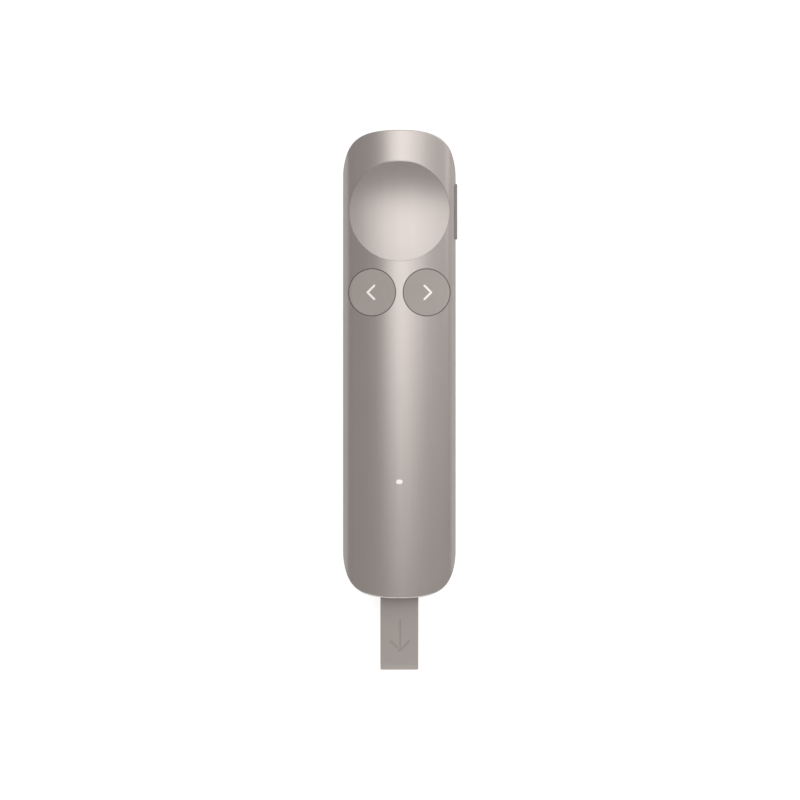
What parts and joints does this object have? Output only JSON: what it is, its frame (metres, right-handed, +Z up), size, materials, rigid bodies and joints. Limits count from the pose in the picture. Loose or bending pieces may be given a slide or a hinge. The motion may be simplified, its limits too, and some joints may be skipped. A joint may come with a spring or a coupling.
{
  "type": "wireless presentation clicker",
  "caption": "Slim metal presentation remote with a dished pointer button, back and next keys, a side button, and a receiver with a pull loop stowed in its tail.",
  "frame": {"origin": "middle of the flat back face, on the body's length and width centre lines", "axes": "+X towards the side button, +Y along the body towards the thumb dish, +Z up out of the button face"},
  "size_m": [0.0304, 0.1435, 0.014],
  "materials": {
    "body_metal": "satin anodised, warm taupe grey, fine lengthwise grain",
    "dish_metal": "satin anodised, warm taupe grey, fine lengthwise grain",
    "key_plastic": "matte, warm taupe grey",
    "arrow_white": "matte white inlay",
    "side_plastic": "matte dark grey",
    "lens_plastic": "milky diffusing lens",
    "dock_plastic": "matte dark grey",
    "receiver_plastic": "matte, warm grey",
    "loop_rubber": "matte silicone, warm grey",
    "bright_steel": "bright zinc plated",
    "plug_steel": "satin nickel plated",
    "black_plastic": "matte black",
    "circuit_board": "green solder mask",
    "chip_black": "moulded epoxy",
    "frame_plastic": "glass-filled, matte",
    "switch_plastic": "matte black",
    "plunger_plastic": "natural nylon",
    "led_resin": "clear yellow resin",
    "can_metal": "tinned",
    "chip_ceramic": "unglazed",
    "battery_foil": "laminated foil pouch",
    "foam_pad": "closed-cell foam tape",
    "lead_insulation": "red wire insulation",
    "connector_plastic": "natural nylon"
  },
  "bodies": {
    "housing": {"upper_shell": "body_metal", "lower_shell": "body_metal", "light_pipe": "lens_plastic", "dock_sleeve": "dock_plastic", "charge_port": "plug_steel", "charge_port_tongue": "black_plastic", "mid_frame": "frame_plastic", "frame_screws": "bright_steel", "board_screws": "bright_steel", "main_board": "circuit_board", "pointer_switch": "switch_plastic", "back_switch": "switch_plastic", "next_switch": "switch_plastic", "side_switch": "switch_plastic", "indicator_led": "led_resin", "radio_chip": "chip_black", "shield_can": "can_metal", "capacitors": "chip_ceramic", "motion_sensor": "chip_black", "charger_chip": "chip_black", "chip_antenna": "chip_ceramic", "timing_crystal": "can_metal", "battery_cell": "battery_foil", "battery_pad": "foam_pad", "battery_leads": "lead_insulation", "battery_socket": "connector_plastic", "battery_plug": "connector_plastic", "haptic_motor": "bright_steel", "motor_pad": "foam_pad", "motor_leads": "lead_insulation"},
    "pointer": {"pointer_button": "dish_metal", "pointer_plunger": "plunger_plastic"},
    "back": {"back_button": "key_plastic", "back_arrow": "arrow_white", "back_plunger": "plunger_plastic"},
    "next": {"next_button": "key_plastic", "next_arrow": "arrow_white", "next_plunger": "plunger_plastic"},
    "side": {"side_button": "side_plastic", "side_plunger": "plunger_plastic"},
    "receiver": {"receiver_case_top": "receiver_plastic", "receiver_case_bottom": "receiver_plastic", "receiver_plug": "plug_steel", "receiver_plug_core": "black_plastic", "receiver_board": "circuit_board", "receiver_chip": "chip_black", "loop_pin": "bright_steel", "pull_loop": "loop_rubber"}
  },
  "joints": [
    {"name": "pointer_press", "type": "slide", "parent": "housing", "child": "pointer", "axis": [0, 0, -1], "range_m": [0, 0.00035], "stiffness_N_per_m": 2500, "springref_m": -0.0002},
    {"name": "back_press", "type": "slide", "parent": "housing", "child": "back", "axis": [0, 0, -1], "range_m": [0, 0.0004], "stiffness_N_per_m": 2200, "springref_m": -0.0002},
    {"name": "next_press", "type": "slide", "parent": "housing", "child": "next", "axis": [0, 0, -1], "range_m": [0, 0.0004], "stiffness_N_per_m": 2200, "springref_m": -0.0002},
    {"name": "side_press", "type": "slide", "parent": "housing", "child": "side", "axis": [-1, 0, 0], "range_m": [0, 0.0003], "stiffness_N_per_m": 2500, "springref_m": -0.0002},
    {"name": "receiver_slide", "type": "slide", "parent": "housing", "child": "receiver", "axis": [0, -1, 0], "range_m": [0, 0.024]}
  ]
}
